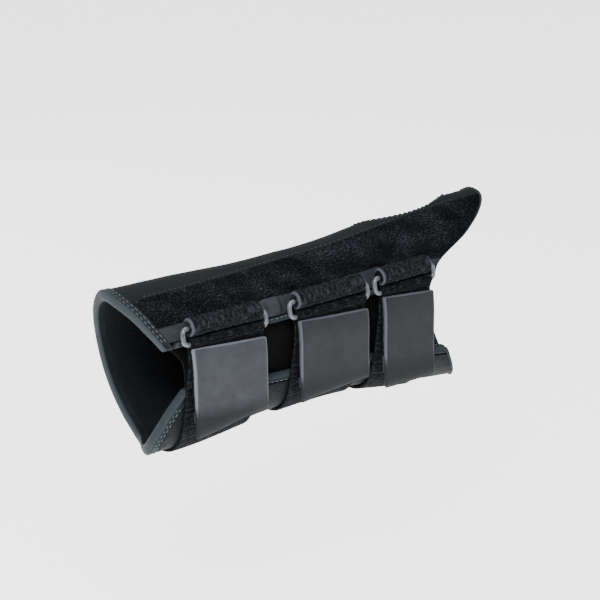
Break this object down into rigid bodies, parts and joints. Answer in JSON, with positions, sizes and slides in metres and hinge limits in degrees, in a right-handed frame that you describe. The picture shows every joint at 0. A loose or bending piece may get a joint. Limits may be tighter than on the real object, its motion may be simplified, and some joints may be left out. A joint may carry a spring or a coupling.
{
  "type": "wrist splint",
  "caption": "Padded black wrist splint: an open tube for forearm, wrist and palm with a thumb opening, closed by ring straps that fold back and end in grey pull tabs.",
  "frame": {"origin": "on the arm's axis, in the plane of the wrap's forearm end", "axes": "+X along the arm towards the fingers, -Y out of the closure side, +Z to the thumb side"},
  "size_m": [0.2045, 0.0655, 0.0899],
  "materials": {
    "pile": "brushed loop pile, matt",
    "palm_fabric": "smooth knitted laminate, matt",
    "smooth_fabric": "smooth knitted laminate",
    "strip": "smooth woven web",
    "binding": "folded knitted binding",
    "foam": "soft foam",
    "lining": "brushed lining",
    "flap": "smooth knitted laminate",
    "spring_steel": "brushed",
    "stay_metal": "satin",
    "tip_plastic": "dipped matt",
    "keeper": "ribbed woven elastic over padding",
    "elastic": "ribbed woven elastic",
    "ring": "moulded, glossy",
    "hook": "moulded hooks",
    "tab": "smooth coated, satin"
  },
  "bodies": {
    "wrap": {"loop_panel": "pile", "palm_panel": "palm_fabric", "lower_panel": "smooth_fabric", "closure_strip": "strip", "upper_closure_binding": "binding", "lower_closure_binding": "binding", "forearm_binding": "binding", "hand_binding": "binding", "thumb_binding": "binding", "foam_core": "foam", "inner_lining": "lining", "under_flap": "flap", "dorsal_stay": "spring_steel", "palm_stay_pocket": "smooth_fabric", "ring_keeper_1": "keeper", "ring_keeper_2": "keeper", "ring_keeper_3": "keeper", "strap_leg_1": "elastic", "strap_leg_2": "elastic", "strap_leg_3": "elastic"},
    "palm_stay": {"palm_stay": "stay_metal", "stay_tip_near": "tip_plastic", "stay_tip_far": "tip_plastic"},
    "ring_1": {"ring_1": "ring"},
    "strap_1": {"strap_fold_1": "elastic", "strap_end_1": "elastic", "hook_patch_1": "hook", "pull_tab_1": "tab"},
    "ring_2": {"ring_2": "ring"},
    "strap_2": {"strap_fold_2": "elastic", "strap_end_2": "elastic", "hook_patch_2": "hook", "pull_tab_2": "tab"},
    "ring_3": {"ring_3": "ring"},
    "strap_3": {"strap_fold_3": "elastic", "strap_end_3": "elastic", "hook_patch_3": "hook", "pull_tab_3": "tab"}
  },
  "joints": [
    {"name": "palm_stay_slide", "type": "slide", "parent": "wrap", "child": "palm_stay", "axis": [-1, 0, 0], "range_m": [0, 0.166]},
    {"name": "ring_1_tilt", "type": "hinge", "parent": "wrap", "child": "ring_1", "pos_m": [0.04218, -0.02585, 0.02137], "axis": [-0.9994, -0.0344, 0.0066], "range_deg": [0, 20]},
    {"name": "strap_1_peel", "type": "hinge", "parent": "ring_1", "child": "strap_1", "pos_m": [0.0422, -0.02771, 0.01462], "axis": [-0.9994, -0.0344, 0.0066], "range_deg": [0, 100]},
    {"name": "ring_2_tilt", "type": "hinge", "parent": "wrap", "child": "ring_2", "pos_m": [0.09824, -0.02438, 0.02152], "axis": [-0.9997, -0.0157, -0.0196], "range_deg": [0, 20]},
    {"name": "strap_2_peel", "type": "hinge", "parent": "ring_2", "child": "strap_2", "pos_m": [0.0984, -0.02602, 0.01472], "axis": [-0.9997, -0.0157, -0.0196], "range_deg": [0, 100]},
    {"name": "ring_3_tilt", "type": "hinge", "parent": "wrap", "child": "ring_3", "pos_m": [0.14008, -0.02487, 0.02329], "axis": [-0.9985, 0.0214, -0.0507], "range_deg": [0, 20]},
    {"name": "strap_3_peel", "type": "hinge", "parent": "ring_3", "child": "strap_3", "pos_m": [0.1404, -0.02636, 0.01646], "axis": [-0.9985, 0.0214, -0.0507], "range_deg": [0, 100]}
  ]
}
